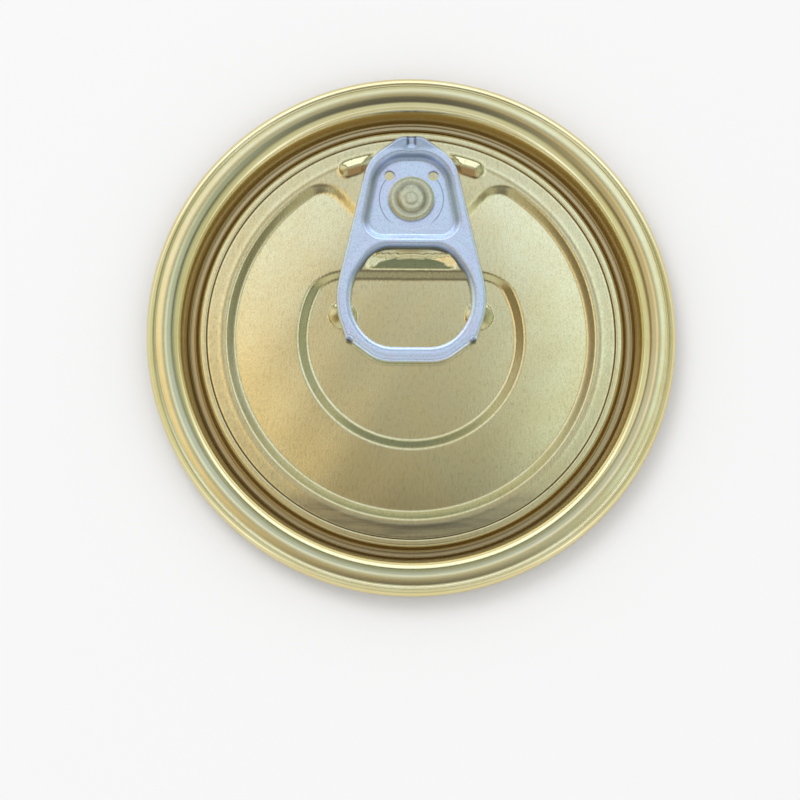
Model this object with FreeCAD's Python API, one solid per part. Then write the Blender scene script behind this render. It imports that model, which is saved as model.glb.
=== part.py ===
"""Ring-pull lid for a 73 mm food can: a pressed tinplate end and its riveted pull tab.

Millimetres, +Z up.  The origin is the centre of the rim, on the surface that the
lid lies on, with the outer face up and the tab's nose towards +Y.
"""
import FreeCAD
import Part

import math
import os

from FreeCAD import Vector

# ---- pressed end: overall sizes -------------------------------------------------
sheet = 0.21                 # tinplate thickness of the end
curl_diameter = 82.6         # outside of the curled rim
groove_depth = 4.5           # rim top down to the inside of the groove
panel_depth = 3.3            # rim top down to the panel
curl_height = 2.1            # rim top down to the cut edge of the curl

# ---- rim, wall and groove, from the outer edge inwards --------------------------
curl_round = 1.3
curl_straight = 1.75         # rim top down to where the curl starts to tuck in
curl_tuck = 0.45             # how far the cut edge is tucked inwards
tuck_round = 0.35
crown_inset = 2.3            # crown of the rim, in from the outer edge
crown_round = 7.8
crown_fall = math.radians(10.2)        # slope of the rim's top on both sides of its crown
rim_width = 4.85             # outer edge in to the wall's slope at the rim's height
shoulder_round = 1.9
wall_lean = 1.6              # the same place in to the wall's foot
groove_width = 1.25
groove_outer_round = 0.7
groove_inner_round = 0.6
groove_lean = 0.45           # foot of the groove's inner side in to the panel's edge
panel_edge_round = 0.45

# ---- tear line ------------------------------------------------------------------
score_inset = 1.15           # panel's edge in to the tear line
score_width = 0.22
score_depth = 0.09

# ---- relief pressed into the panel ----------------------------------------------
step_run = 1.35              # width of each sloping step
well_inset = 3.1             # tear line in to the outer step, all round but at the rivet
well_depth = 0.35
lobe_round = 3.6             # corners of the well beside the rivet's saddle
saddle_drop = 7.3            # rivet down to the lower edge of its raised saddle
saddle_half = 3.3
saddle_flare = math.radians(48.0)
saddle_round = 1.2
dish_radius = 17.7           # inner D-shaped step under the ring
dish_depth = 0.35
dish_chord_drop = 11.55      # rivet down to the straight side of the dish
dish_round = 3.3
dip_from_saddle = 1.6        # shallow finger dip between the saddle and the dish
dip_from_dish = 0.25
dip_top_half = 3.4
dip_low_half = 7.0
dip_depth = 0.3

# ---- stops and rests pressed up beside the tab ----------------------------------
bar_inset = 3.05             # tear line in to the middle of each stop bar
bar_half_width = 1.3
bar_height = 0.45
bar_length = 3.4             # tab's side out to the centre of the bar's round end
tab_side_gap = 0.15
rest_outset = 1.28           # ring's opening out to the middle of each rest
rest_drop = 18.7             # rivet down to the rests
rest_radius = 2.2
rest_height = 0.35

# ---- rivet, drawn out of the panel ----------------------------------------------
head_radius = 3.6
head_thickness = 0.3
head_round = 0.12
stem_radius = 1.75
stem_wall = 0.3
button_radius = 1.95
button_height = 0.16
button_round = 0.1
pip_radius = 0.85
pip_height = 0.06
pip_round = 0.05

# ---- pull tab: half widths, and reaches and drops from the rivet's centre -------
tab_thickness = 1.3
tab_edge_round = 0.5
web_thickness = 0.3          # single sheet round the rivet
nose_overlap = 0.35          # how far the nose reaches past the tear line
nose_reach = 10.05
nose_half = 1.75
nose_round = 2.4
cheek_reach = 6.16           # where the slanting nose meets the side
cheek_half = 6.95
cheek_round = 7.0
hip_drop = 16.82             # where the upper and lower sides meet, before rounding
hip_half = 12.26
hip_round = 12.7
heel_drop = 23.05
heel_half = 10.15
heel_round = 1.2
heel_step = 0.28             # below the heel the hem is set in by this
tail_drop = 26.73
tail_half = 5.2
tail_round = 6.2

ring_half = 9.42             # opening of the ring
ring_top_drop = 8.05
ring_top_half = 5.6
ring_top_round = 4.4
ring_high_drop = 13.45
ring_high_round = 8.0
ring_low_drop = 19.5
ring_low_round = 6.5
ring_end_drop = 23.95
ring_end_half = 5.55
ring_end_round = 5.0

pan_top_reach = 6.45         # flat of the recess round the rivet
pan_top_half = 4.86
pan_top_round = 4.7
pan_low_drop = 5.8
pan_low_half = 7.2
pan_low_round = 1.9
pan_wall_run = 0.75

stem_gap = 0.03
slit_radius = 5.05           # slit that frees the tongue round the rivet
slit_width = 0.14
vent_angle = math.radians(43.2)        # round holes at its ends, from +Y
vent_radius = 0.78
nick_half = 0.72             # small channel in the tip of the nose
nick_length = 1.75
nick_depth = 0.3

# ---- places and heights worked out from the sizes above -------------------------
wall_top_radius = curl_diameter / 2 - rim_width
groove_outer_radius = wall_top_radius - wall_lean
groove_inner_radius = groove_outer_radius - groove_width
panel_radius = groove_inner_radius - groove_lean
score_radius = panel_radius - score_inset
well_radius = score_radius - well_inset
bar_radius = score_radius - bar_inset

nose_y = score_radius + nose_overlap
rivet_y = nose_y - nose_reach
heel_y = rivet_y - heel_drop
tail_y = rivet_y - tail_drop
saddle_y = rivet_y - saddle_drop
dish_chord_y = rivet_y - dish_chord_drop
vent_x = slit_radius * math.sin(vent_angle)
vent_y = rivet_y + slit_radius * math.cos(vent_angle)

rim_top = sheet + groove_depth
panel_top = rim_top - panel_depth
well_floor = panel_top - well_depth
dish_floor = well_floor - dish_depth
tab_bottom = panel_top
tab_top = tab_bottom + tab_thickness
web_top = tab_bottom + web_thickness
head_top = web_top + head_thickness
button_top = head_top + button_height
margin = 2.0                 # how far a cutting solid reaches past what it cuts


# ---- outlines -------------------------------------------------------------------
def flat(point):
    return Vector(point[0], point[1], 0)


def straight(start, end):
    return Part.LineSegment(flat(start), flat(end)).toShape()


def bend(start, middle, end):
    return Part.Arc(flat(start), flat(middle), flat(end)).toShape()


def turn_between(before, after):
    cross = before[0] * after[1] - before[1] * after[0]
    dot = before[0] * after[0] + before[1] * after[1]
    return math.atan2(cross, dot)


def headings(corners):
    """Unit direction of each run between corners."""
    runs = []
    for (ax, ay, _), (bx, by, _) in zip(corners, corners[1:]):
        length = math.hypot(bx - ax, by - ay)
        runs.append(((bx - ax) / length, (by - ay) / length))
    return runs


def rounded_path(corners, shift=0.0):
    """Edges along corners (x, y, round), set off to the right of the path by shift."""
    runs = headings(corners)
    befores = [runs[0]] + runs
    afters = runs + [runs[-1]]
    moved = []
    for (x, y, _), before, after in zip(corners, befores, afters):
        lean = math.tan(turn_between(before, after) / 2)
        moved.append((x + shift * (before[1] + lean * before[0]),
                      y + shift * (lean * before[1] - before[0])))
    edges = []
    here = moved[0]
    for index in range(1, len(corners) - 1):
        before = befores[index]
        after = afters[index]
        turn = turn_between(before, after)
        radius = corners[index][2] + math.copysign(shift, turn)
        reach = radius * math.tan(abs(turn) / 2)
        x, y = moved[index]
        start = (x - reach * before[0], y - reach * before[1])
        end = (x + reach * after[0], y + reach * after[1])
        inward = (after[0] - before[0], after[1] - before[1])
        sagitta = radius * (1 / math.cos(turn / 2) - 1) / math.hypot(*inward)
        middle = (x + sagitta * inward[0], y + sagitta * inward[1])
        edges.append(straight(here, start))
        edges.append(bend(start, middle, end))
        here = end
    edges.append(straight(here, moved[-1]))
    return edges


def outline(half, grow=0.0):
    """Closed wire, symmetric about Y, from its +X corners listed from top to bottom."""
    left = [(-x, y, radius) for x, y, radius in reversed(half)]
    top = (0.0, half[0][1], 0.0)
    return Part.Wire(rounded_path([top] + half + left + [top], -grow))


def both_halves(edges):
    """Closed wire from edges on the +X side and their mirror images."""
    mirrored = [edge.mirror(Vector(0, 0, 0), Vector(1, 0, 0)) for edge in edges]
    return Part.Wire(Part.__sortEdges__(edges + mirrored))


def rolled_corner(ring, rounding, foot, heading):
    """Corner inside a ring where a line from foot runs into it.

    Returns where the rounding leaves the line, its middle, and where it joins the ring.
    """
    inward = Vector(heading.y, -heading.x, 0)
    base = foot + inward * rounding
    along = base.dot(heading)
    reach = (ring - rounding) ** 2 - base.dot(base)
    centre = base + heading * (math.sqrt(along ** 2 + reach) - along)
    outward = Vector(centre)
    outward.normalize()
    between = outward - inward
    between.normalize()
    return centre - inward * rounding, centre + between * rounding, centre + outward * rounding


def ring_cut_by(ring, rounding, start_edges, foot, heading):
    """Closed wire: start edges, the line from foot, a round corner and the ring."""
    on_line, middle, on_ring = rolled_corner(ring, rounding, foot, heading)
    edges = start_edges(on_line)
    edges.append(bend(on_line, middle, on_ring))
    edges.append(bend(on_ring, (ring, 0), (0, -ring)))
    return both_halves(edges)


def well_wire(shrink):
    """Outer step: a ring that bends inwards round the saddle under the rivet."""
    heading = Vector(math.cos(saddle_flare), math.sin(saddle_flare), 0)
    foot = Vector(saddle_half + shrink * math.tan(saddle_flare / 2), saddle_y - shrink, 0)

    def saddle_edges(on_line):
        corners = [
            (0.0, foot.y, 0.0),
            (foot.x, foot.y, saddle_round + shrink),
            (on_line.x, on_line.y, 0.0),
        ]
        return rounded_path(corners)

    return ring_cut_by(well_radius - shrink, lobe_round - shrink, saddle_edges, foot, heading)


def dish_wire(shrink):
    """Inner step: a ring cut straight across below the saddle."""
    foot = Vector(0, dish_chord_y - shrink, 0)

    def chord_edges(on_line):
        return [straight(foot, on_line)]

    return ring_cut_by(dish_radius - shrink, dish_round - shrink, chord_edges, foot, Vector(1, 0, 0))


# ---- solids from outlines -------------------------------------------------------
def slab(wire, low, high):
    face = Part.Face(wire)
    face.translate(Vector(0, 0, low))
    return face.extrude(Vector(0, 0, high - low))


def sloped(mouth, floor, mouth_z, floor_z):
    """Solid with sloping sides between a wire at mouth_z and a like wire at floor_z."""
    mouth.translate(Vector(0, 0, mouth_z))
    floor.translate(Vector(0, 0, floor_z))
    return Part.makeLoft([floor, mouth], True, True)


def upright(wire):
    """Section drawn as (radius, z) in the plane z = 0, stood up in the XZ plane."""
    face = Part.Face(wire)
    face.rotate(Vector(0, 0, 0), Vector(1, 0, 0), 90)
    return face


def spun(wire, degrees=360.0):
    return upright(wire).revolve(Vector(0, 0, 0), Vector(0, 0, 1), degrees)


def below(solid):
    """The same form on the sheet's underside."""
    copy = solid.copy()
    copy.translate(Vector(0, 0, -sheet))
    return copy


def pressed_down(panel, form):
    """Press form, which is the hollow above the pressed sheet, into the panel."""
    return panel.fuse(below(form)).cut(form)


def pressed_up(panel, form):
    return panel.fuse(form).cut(below(form))


# ---- pressed end ----------------------------------------------------------------
def end_corners():
    """Upper surface of the end in section, from the middle of the panel outwards.

    The crown's rounding touches the rim's height, so its corner lies a little above it.
    The shoulder's corner is where the wall's slope meets the crown's inner slope.
    """
    fall = math.tan(crown_fall)
    lean = wall_lean / groove_depth
    edge = curl_diameter / 2
    crown = edge - crown_inset
    crown_z = rim_top + crown_round * (1 / math.cos(crown_fall) - 1)
    edge_z = crown_z - crown_inset * fall
    shoulder = (groove_outer_radius + lean * (crown_z - sheet - crown * fall)) / (1 - lean * fall)
    shoulder_z = crown_z - (crown - shoulder) * fall
    return [
        (0.0, panel_top, 0.0),
        (panel_radius, panel_top, panel_edge_round),
        (groove_inner_radius, sheet, groove_inner_round),
        (groove_outer_radius, sheet, groove_outer_round),
        (shoulder, shoulder_z, shoulder_round),
        (crown, crown_z, crown_round),
        (edge, edge_z, curl_round),
        (edge, rim_top - curl_straight, tuck_round),
        (edge - curl_tuck, rim_top - curl_height, 0.0),
    ]


def plain_end():
    """Panel, groove, wall and curl in one revolved sheet."""
    upper = rounded_path(end_corners())
    lower = rounded_path(end_corners(), sheet)
    inner = straight((0, panel_top - sheet), (0, panel_top))
    upper_lip = upper[-1].Vertexes[-1].Point
    lower_lip = lower[-1].Vertexes[-1].Point
    cut_edge = straight(upper_lip, lower_lip)
    return spun(Part.Wire(Part.__sortEdges__([inner] + upper + [cut_edge] + lower)))


def score():
    """V-shaped tear line, cut into the panel's upper face."""
    lip = score_width / 2 * (1 + sheet / score_depth)
    tip = (score_radius, panel_top - score_depth)
    outer = (score_radius + lip, panel_top + sheet)
    inner = (score_radius - lip, panel_top + sheet)
    return spun(Part.Wire([straight(tip, outer), straight(outer, inner), straight(inner, tip)]))


def well():
    return sloped(well_wire(0.0), well_wire(step_run), panel_top, well_floor)


def dish():
    return sloped(dish_wire(0.0), dish_wire(step_run), well_floor, dish_floor)


def dip():
    """Wedge that deepens towards the saddle and fades out at both ends."""
    top_y = saddle_y - dip_from_saddle
    low_y = dish_chord_y + dip_from_dish
    low_left = Vector(-dip_low_half, low_y, well_floor)
    low_right = Vector(dip_low_half, low_y, well_floor)
    top_left = Vector(-dip_low_half, top_y, well_floor)
    top_right = Vector(dip_low_half, top_y, well_floor)
    deep_left = Vector(-dip_top_half, top_y - dip_depth, well_floor - dip_depth)
    deep_right = Vector(dip_top_half, top_y - dip_depth, well_floor - dip_depth)
    loops = [
        [low_left, low_right, top_right, top_left],
        [low_left, low_right, deep_right, deep_left],
        [top_left, top_right, deep_right, deep_left],
        [low_left, top_left, deep_left],
        [low_right, top_right, deep_right],
    ]
    faces = [Part.Face(Part.makePolygon(loop + loop[:1])) for loop in loops]
    return Part.makeSolid(Part.makeShell(faces))


def cap_section(half_width, height, centre=0.0):
    """Low arch, drawn from its middle to its +X foot, standing on z = 0."""
    radius = (half_width ** 2 + height ** 2) / (2 * height)
    half_turn = math.asin(half_width / radius) / 2
    middle = (centre + radius * math.sin(half_turn), height - radius * (1 - math.cos(half_turn)))
    return [
        bend((centre, height), middle, (centre + half_width, 0)),
        straight((centre + half_width, 0), (centre, 0)),
    ]


def dome(half_width, height, place):
    arch = cap_section(half_width, height)
    solid = spun(Part.Wire(arch + [straight((0, 0), (0, height))]))
    solid.translate(place)
    return solid


def stop_bar():
    """Arched bar that follows a ring, from beside the tab to its round outer end."""
    turn = math.asin((cheek_half + bar_length) / bar_radius)
    arch = cap_section(bar_half_width, bar_height, bar_radius)
    mirrored = [edge.mirror(Vector(bar_radius, 0, 0), Vector(1, 0, 0)) for edge in arch]
    wire = Part.Wire(Part.__sortEdges__([arch[0], mirrored[0], mirrored[1], arch[1]]))
    bar = spun(wire, math.degrees(turn))
    bar.rotate(Vector(0, 0, 0), Vector(0, 0, 1), 90 - math.degrees(turn))
    bar.translate(Vector(0, 0, panel_top))
    end = Vector(bar_radius * math.sin(turn), bar_radius * math.cos(turn), panel_top)
    bar = bar.fuse(dome(bar_half_width, bar_height, end))
    beside = slab(outline(tab_half(), tab_side_gap), 0, rim_top)
    return bar.cut(beside)


def rivet():
    """Hollow stem with an upset head, a raised button and a pip."""
    hollow = stem_radius - stem_wall
    roof = button_top - stem_wall
    foot = panel_top - sheet
    corners = [
        (0.0, button_top + pip_height, 0.0),
        (pip_radius, button_top + pip_height, pip_round),
        (pip_radius + pip_height, button_top, pip_round),
        (button_radius, button_top, button_round),
        (button_radius + button_height, head_top, button_round),
        (head_radius, head_top, head_round),
        (head_radius, web_top, head_round),
        (stem_radius, web_top, 0.0),
    ]
    edges = rounded_path(corners)
    inside = [(stem_radius, web_top), (stem_radius, foot), (hollow, foot), (hollow, roof), (0.0, roof),
              (0.0, button_top + pip_height)]
    edges += [straight(start, end) for start, end in zip(inside, inside[1:])]
    solid = spun(Part.Wire(edges))
    solid.translate(Vector(0, rivet_y, 0))
    return solid


def lid_end():
    end = plain_end()
    end = pressed_down(end, well())
    end = pressed_down(end, dish())
    end = pressed_down(end, dip())
    bar = stop_bar()
    for form in (bar, bar.mirror(Vector(0, 0, 0), Vector(1, 0, 0))):
        end = pressed_up(end, form)
    for side in (-1, 1):
        place = Vector(side * (ring_half + rest_outset), rivet_y - rest_drop, dish_floor)
        end = pressed_up(end, dome(rest_radius, rest_height, place))
    end = end.cut(score())
    bore = Part.makeCylinder(stem_radius - stem_wall, margin, Vector(0, rivet_y, panel_top - margin / 2))
    return end.cut(bore).fuse(rivet()).removeSplitter()


# ---- pull tab -------------------------------------------------------------------
def tab_half():
    return [
        (nose_half, nose_y, nose_round),
        (cheek_half, rivet_y + cheek_reach, cheek_round),
        (hip_half, rivet_y - hip_drop, hip_round),
        (heel_half, heel_y, heel_round),
        (tail_half, tail_y, tail_round),
    ]


def ring_half_corners():
    return [
        (ring_top_half, rivet_y - ring_top_drop, ring_top_round),
        (ring_half, rivet_y - ring_high_drop, ring_high_round),
        (ring_half, rivet_y - ring_low_drop, ring_low_round),
        (ring_end_half, rivet_y - ring_end_drop, ring_end_round),
    ]


def pan_half():
    return [
        (pan_top_half, rivet_y + pan_top_reach, pan_top_round),
        (pan_low_half, rivet_y - pan_low_drop, pan_low_round),
    ]


def hemmed_plate(grow):
    """Tab plate with its ring, every edge rolled under."""
    plate = slab(outline(tab_half(), grow), tab_bottom, tab_top)
    plate = plate.cut(slab(outline(ring_half_corners()), tab_bottom - margin, tab_top + margin))
    rims = []
    for edge in plate.Edges:
        box = edge.BoundBox
        if box.ZLength < tab_edge_round:
            rims.append(edge)
    return plate.makeFillet(tab_edge_round, rims)


def half_space(y_low, y_high):
    width = 2 * (hip_half + margin)
    corner = Vector(-width / 2, y_low, tab_bottom - margin)
    return Part.makeBox(width, y_high - y_low, tab_thickness + 2 * margin, corner)


def tab_body():
    """Upper tab and the ring's hem, which is set in below the heels."""
    upper = hemmed_plate(0.0).common(half_space(heel_y, nose_y + margin))
    lower = hemmed_plate(-heel_step).common(half_space(tail_y - margin, heel_y))
    return upper.fuse(lower).removeSplitter()


def tongue_slit():
    """Slit round the rivet, left open at the top so that the tongue can bend."""
    centre = Vector(0, rivet_y, tab_bottom - margin)
    outer = Part.makeCylinder(slit_radius + slit_width / 2, 2 * margin, centre)
    inner = Part.makeCylinder(slit_radius - slit_width / 2, 2 * margin, centre)
    return outer.cut(inner).cut(half_space(vent_y, nose_y))


def nose_nick():
    low = tab_top - nick_depth
    end_y = nose_y - nick_length + nick_half
    end = Part.makeCylinder(nick_half, margin, Vector(0, end_y, low))
    channel = Part.makeBox(2 * nick_half, nose_y + margin - end_y, margin, Vector(-nick_half, end_y, low))
    return end.fuse(channel)


def pull_tab():
    tab = tab_body()
    pan_floor = outline(pan_half())
    pan_mouth = outline(pan_half(), pan_wall_run)
    tab = tab.cut(sloped(pan_mouth, pan_floor, tab_top, web_top))
    stem_hole = Part.makeCylinder(stem_radius + stem_gap, 2 * margin, Vector(0, rivet_y, tab_bottom - margin))
    tab = tab.cut(stem_hole)
    for side in (-1, 1):
        vent = Part.makeCylinder(vent_radius, 2 * margin, Vector(side * vent_x, vent_y, tab_bottom - margin))
        tab = tab.cut(vent)
    return tab.cut(tongue_slit()).cut(nose_nick())


def write(name, shape):
    solids = shape.Solids
    print(name, "solids", len(solids), "valid", shape.isValid(), "volume mm3", round(shape.Volume, 2))
    solids[0].exportStep(os.path.join("parts", name + ".step"))


os.makedirs("parts", exist_ok=True)
write("lid_end", lid_end())
write("pull_tab", pull_tab())
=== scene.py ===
import math

import bpy
import numpy as np
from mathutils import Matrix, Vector


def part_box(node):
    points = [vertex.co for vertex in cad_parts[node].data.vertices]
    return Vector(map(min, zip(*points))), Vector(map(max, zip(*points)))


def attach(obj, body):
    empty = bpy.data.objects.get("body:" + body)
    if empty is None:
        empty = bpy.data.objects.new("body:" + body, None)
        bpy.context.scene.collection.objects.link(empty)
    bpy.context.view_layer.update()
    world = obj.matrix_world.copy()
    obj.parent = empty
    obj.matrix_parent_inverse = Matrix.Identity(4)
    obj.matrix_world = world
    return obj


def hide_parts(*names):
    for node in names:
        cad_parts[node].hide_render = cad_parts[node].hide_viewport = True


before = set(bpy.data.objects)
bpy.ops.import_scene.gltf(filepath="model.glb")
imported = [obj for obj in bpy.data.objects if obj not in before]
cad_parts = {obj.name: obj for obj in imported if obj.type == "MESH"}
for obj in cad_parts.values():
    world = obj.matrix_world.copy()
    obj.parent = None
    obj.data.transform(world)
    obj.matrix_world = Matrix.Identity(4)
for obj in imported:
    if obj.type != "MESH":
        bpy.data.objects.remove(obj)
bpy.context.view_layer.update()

# A ring-pull lid: gold-lacquered pressed end, its rivet and a riveted pull tab.
# Lengths of the camera and of the pieces are millimetres, those of the studio metres.
mm = 0.001
rootBody = "root"
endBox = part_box("lid_end")
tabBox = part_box("pull_tab")
rimRadius = endBox[1].x / mm
rimTop = endBox[1].z / mm
tabBottom = tabBox[0].z / mm
tabTop = tabBox[1].z / mm
noseY = tabBox[1].y / mm
tailY = tabBox[0].y / mm


# small helpers
def deselectAll():
    active = bpy.context.view_layer.objects.active
    if active and active.mode != "OBJECT":
        bpy.ops.object.mode_set(mode="OBJECT")
    bpy.ops.object.select_all(action="DESELECT")


def makeActive(*pieces):
    deselectAll()
    for piece in pieces:
        piece.select_set(True)
    bpy.context.view_layer.objects.active = pieces[0]


def applyPlace(piece):
    makeActive(piece)
    bpy.ops.object.transform_apply(location=True, rotation=True, scale=True)


def applyModifier(piece, kind, **settings):
    makeActive(piece)
    modifier = piece.modifiers.new(kind.title(), kind)
    for name, value in settings.items():
        setattr(modifier, name, value)
    bpy.ops.object.modifier_apply(modifier=modifier.name)


def readPoints(piece):
    points = np.empty(len(piece.data.vertices) * 3)
    piece.data.vertices.foreach_get("co", points)
    return points.reshape(-1, 3) / mm


def writePoints(piece, points):
    piece.data.vertices.foreach_set("co", (points * mm).ravel())
    piece.data.update()


def smoothByAngle(piece, degrees):
    makeActive(piece)
    bpy.ops.object.shade_smooth_by_angle(angle=math.radians(degrees))


# outlines and soft steps
def roundedPath(corners, shift=0.0, arcStep=6.0):
    # points along corners (x, y, round), set off to the right of the path by shift
    runs = []
    for (ax, ay, _), (bx, by, _) in zip(corners, corners[1:]):
        length = math.hypot(bx - ax, by - ay)
        runs.append(((bx - ax) / length, (by - ay) / length))
    points = []
    for index, (x, y, rounding) in enumerate(corners):
        before = runs[max(index - 1, 0)]
        after = runs[min(index, len(runs) - 1)]
        cross = before[0] * after[1] - before[1] * after[0]
        turn = math.atan2(cross, before[0] * after[0] + before[1] * after[1])
        lean = math.tan(turn / 2)
        x += shift * (before[1] + lean * before[0])
        y += shift * (lean * before[1] - before[0])
        radius = rounding + shift * math.copysign(1, turn) if rounding else 0.0
        if abs(turn) < 1e-6 or radius <= 0:
            points.append((x, y))
            continue
        reach = radius * abs(lean)
        startX, startY = x - reach * before[0], y - reach * before[1]
        side = math.copysign(radius, turn)
        centreX, centreY = startX - side * before[1], startY + side * before[0]
        steps = max(2, math.ceil(abs(math.degrees(turn)) / arcStep))
        for step in range(steps + 1):
            part = turn * step / steps
            spokeX, spokeY = startX - centreX, startY - centreY
            points.append((
                centreX + spokeX * math.cos(part) - spokeY * math.sin(part),
                centreY + spokeX * math.sin(part) + spokeY * math.cos(part),
            ))
    return points


def closedOutline(half, grow=0.0):
    # symmetric about Y, from its +X corners listed from top to bottom
    left = [(-x, y, rounding) for x, y, rounding in reversed(half)]
    top = (0.0, half[0][1], 0.0)
    return roundedPath([top] + half + left + [top], -grow)[:-1]


def densify(points, spacing):
    dense = []
    for start, end in zip(points, points[1:] + points[:1]):
        steps = max(1, math.ceil(math.dist(start, end) / spacing))
        for step in range(steps):
            part = step / steps
            dense.append((start[0] + (end[0] - start[0]) * part, start[1] + (end[1] - start[1]) * part))
    return np.array(dense)


def insideDistance(x, y, outline):
    # how far inside a closed outline each place is; outside it is negative
    best = np.full(x.shape, 1e9)
    inside = np.zeros(x.shape, bool)
    for (ax, ay), (bx, by) in zip(outline, outline[1:] + outline[:1]):
        edgeX, edgeY = bx - ax, by - ay
        square = max(edgeX ** 2 + edgeY ** 2, 1e-12)
        part = np.clip(((x - ax) * edgeX + (y - ay) * edgeY) / square, 0, 1)
        best = np.minimum(best, (x - ax - part * edgeX) ** 2 + (y - ay - part * edgeY) ** 2)
        if ay != by:
            crosses = (ay > y) != (by > y)
            inside ^= crosses & (x < edgeX * (y - ay) / edgeY + ax)
    return np.where(inside, 1, -1) * np.sqrt(best)


def softFloor(value, bend):
    # max(value, 0) with its corner rounded over bend each way
    rounded = (value + bend) ** 2 / (4 * bend)
    return np.where(value < -bend, 0.0, np.where(value > bend, value, rounded))


def softStep(distance, run, bend):
    # 0 to 1 over run, straight in the middle, rounded at both ends
    return (softFloor(distance, bend) - softFloor(distance - run, bend)) / run


def roundedMin(first, second, rounding):
    # the smaller of two distances, with the corner between them rounded
    inner = rounding - np.hypot(np.maximum(rounding - first, 0), np.maximum(rounding - second, 0))
    return np.where((first < rounding) & (second < rounding), inner, np.minimum(first, second))


def bump(distance, halfWidth):
    # 1 at the middle, fading to both sides
    return np.exp(-(distance / halfWidth) ** 2)


# shader wiring
class Wire:  # a socket that takes Python's operators
    def __init__(self, graph, socket):
        self.graph = graph
        self.socket = socket

    def maths(self, operation, *values):
        sockets = dict(enumerate((self, *values)))
        return self.graph.add("ShaderNodeMath", {"operation": operation}, sockets)

    def __add__(self, other):
        return self.maths("ADD", other)

    def __radd__(self, other):
        return self.maths("ADD", other)

    def __sub__(self, other):
        return self.maths("SUBTRACT", other)

    def __rsub__(self, other):
        return self.graph.add("ShaderNodeMath", {"operation": "SUBTRACT"}, {0: other, 1: self})

    def __mul__(self, other):
        return self.maths("MULTIPLY", other)

    def __rmul__(self, other):
        return self.maths("MULTIPLY", other)

    def __truediv__(self, other):
        return self.maths("DIVIDE", other)

    def __abs__(self):
        return self.maths("ABSOLUTE")

    def between(self, low, high):
        # 0 below low, 1 above high, smooth between
        sockets = {"Value": self, "From Min": low, "From Max": high}
        return self.graph.add("ShaderNodeMapRange", {"interpolation_type": "SMOOTHSTEP"}, sockets)


class Graph:
    def __init__(self, holder):
        holder.use_nodes = True
        self.tree = holder.node_tree
        self.tree.nodes.clear()

    def add(self, kind, settings=None, sockets=None, out=0):
        node = self.tree.nodes.new(kind)
        for name, value in (settings or {}).items():
            setattr(node, name, value)
        for name, value in (sockets or {}).items():
            if isinstance(value, Wire):
                self.tree.links.new(value.socket, node.inputs[name])
            else:
                node.inputs[name].default_value = value
        return Wire(self, node.outputs[out]) if node.outputs else None

    def mix(self, first, second, factor, blend="MIX"):
        settings = {"data_type": "RGBA", "blend_type": blend}
        return self.add("ShaderNodeMix", settings, {0: factor, 6: first, 7: second}, 2)

    def places(self):
        return self.add("ShaderNodeTexCoord", out="Object")

    def ray(self, name):
        return self.add("ShaderNodeLightPath", out=name)

    def noise(self, places, scale, detail=3.0, roughness=0.55, stretch=(1, 1, 1)):
        stretched = self.add("ShaderNodeMapping", None, {"Vector": places, "Scale": stretch})
        sockets = {"Vector": stretched, "Scale": scale, "Detail": detail, "Roughness": roughness}
        return self.add("ShaderNodeTexNoise", None, sockets)

    def dents(self, height, strength):
        # bumps a fiftieth of a millimetre high
        sockets = {"Height": height, "Strength": strength, "Distance": 0.00002}
        return self.add("ShaderNodeBump", None, sockets)

    def split(self, places):
        parts = self.add("ShaderNodeSeparateXYZ", None, {0: places})
        return [Wire(self, socket) for socket in parts.socket.node.outputs]


def colour(red, green, blue):
    # a screen colour, 0 to 255, as the linear colour that a socket takes
    def linear(value):
        value /= 255
        return value / 12.92 if value <= 0.04045 else ((value + 0.055) / 1.055) ** 2.4
    return (linear(red), linear(green), linear(blue), 1.0)


# camera
cameraSizes = {
    "azimuth": -5.876,      # degrees, seen from the middle of the rim's top
    "elevation": 77.626,
    "distance": 650.0,
    "aim": (-1.81, -10.66),  # where the lens points, in the plane of the rim's top
    "roll": 5.754,
    "lens": 187.8,
}


def makeCamera():
    azimuth = math.radians(cameraSizes["azimuth"])
    elevation = math.radians(cameraSizes["elevation"])
    back = Vector((
        math.sin(azimuth) * math.cos(elevation),
        -math.cos(azimuth) * math.cos(elevation),
        math.sin(elevation),
    ))
    camera = bpy.data.objects.new("viewCamera", bpy.data.cameras.new("viewCamera"))
    bpy.context.scene.collection.objects.link(camera)
    camera.location = (Vector((0, 0, rimTop)) + back * cameraSizes["distance"]) * mm
    aim = Vector((*cameraSizes["aim"], rimTop)) * mm
    facing = (aim - camera.location).to_track_quat("-Z", "Y")
    camera.rotation_mode = "QUATERNION"
    turn = Vector((0, 0, 1))
    half = math.radians(cameraSizes["roll"]) / 2
    roll = facing.copy()
    roll.w, roll.x, roll.y, roll.z = math.cos(half), *(turn * math.sin(half))
    camera.rotation_quaternion = facing @ roll
    camera.data.sensor_width = 36
    camera.data.lens = cameraSizes["lens"]
    camera.data.clip_start = 0.01
    camera.data.clip_end = 20
    bpy.context.scene.camera = camera


makeCamera()
print("camera placed")


# studio
studio = {
    "ambient": 0.8,             # world light on matt surfaces; 1 is white
    "keyPower": 14.0,           # watts
    "keyPlace": (-0.9, 1.1, 2.0),
    "keySize": 1.3,
    "floorSize": 6.0,
    "floorColour": (0.86, 0.86, 0.86, 1),
    "floorLift": 0.1,           # glow that only the camera sees
    "canopyRadius": 1.6,
    "canopyEdge": 84.0,         # degrees from straight up
    "lowLight": (1.35, 1.5, 1.9, 1),    # bright low surroundings, seen by steep faces
}

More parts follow.
